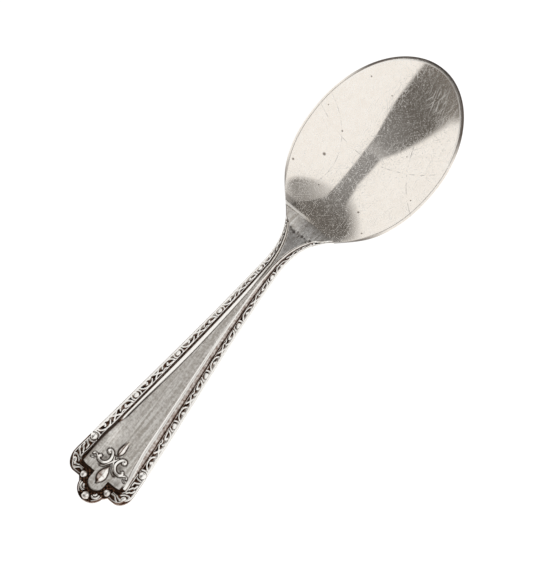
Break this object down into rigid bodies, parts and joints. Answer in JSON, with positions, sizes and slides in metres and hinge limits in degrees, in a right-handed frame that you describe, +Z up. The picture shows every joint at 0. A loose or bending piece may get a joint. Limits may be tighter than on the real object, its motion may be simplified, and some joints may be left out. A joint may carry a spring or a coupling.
{
  "type": "baby spoon",
  "caption": "Silver baby spoon with a broad oval bowl and a short tapering handle, its front edged with threads, beaded scroll borders and a lily motif at the lobed end.",
  "frame": {"origin": "on the table, under the middle of the spoon's length and width", "axes": "+X along the spoon towards the bowl's tip, +Y across it to the left, +Z up from the table, with the bowl's inside facing up"},
  "size_m": [0.1123, 0.0298, 0.0116],
  "materials": {
    "polished_silver": "polished, worn bright, with fine scratches",
    "satin_silver": "satin, worn",
    "struck_silver": "die-struck relief, bright on the high points and oxidised dark in the hollows"
  },
  "bodies": {
    "root": {"bowl": "polished_silver", "handle": "satin_silver", "panel": "satin_silver", "left_thread": "polished_silver", "right_thread": "polished_silver", "left_border": "struck_silver", "right_border": "struck_silver", "left_corner_border": "struck_silver", "right_corner_border": "struck_silver", "left_lobe_border": "struck_silver", "right_lobe_border": "struck_silver", "end_bead": "struck_silver", "left_notch_bead": "struck_silver", "right_notch_bead": "struck_silver", "left_side_bead": "struck_silver", "right_side_bead": "struck_silver", "fleur_drop": "struck_silver", "fleur_leaf": "struck_silver", "fleur_left_scroll": "struck_silver", "fleur_right_scroll": "struck_silver", "fleur_knot": "struck_silver"}
  },
  "joints": []
}
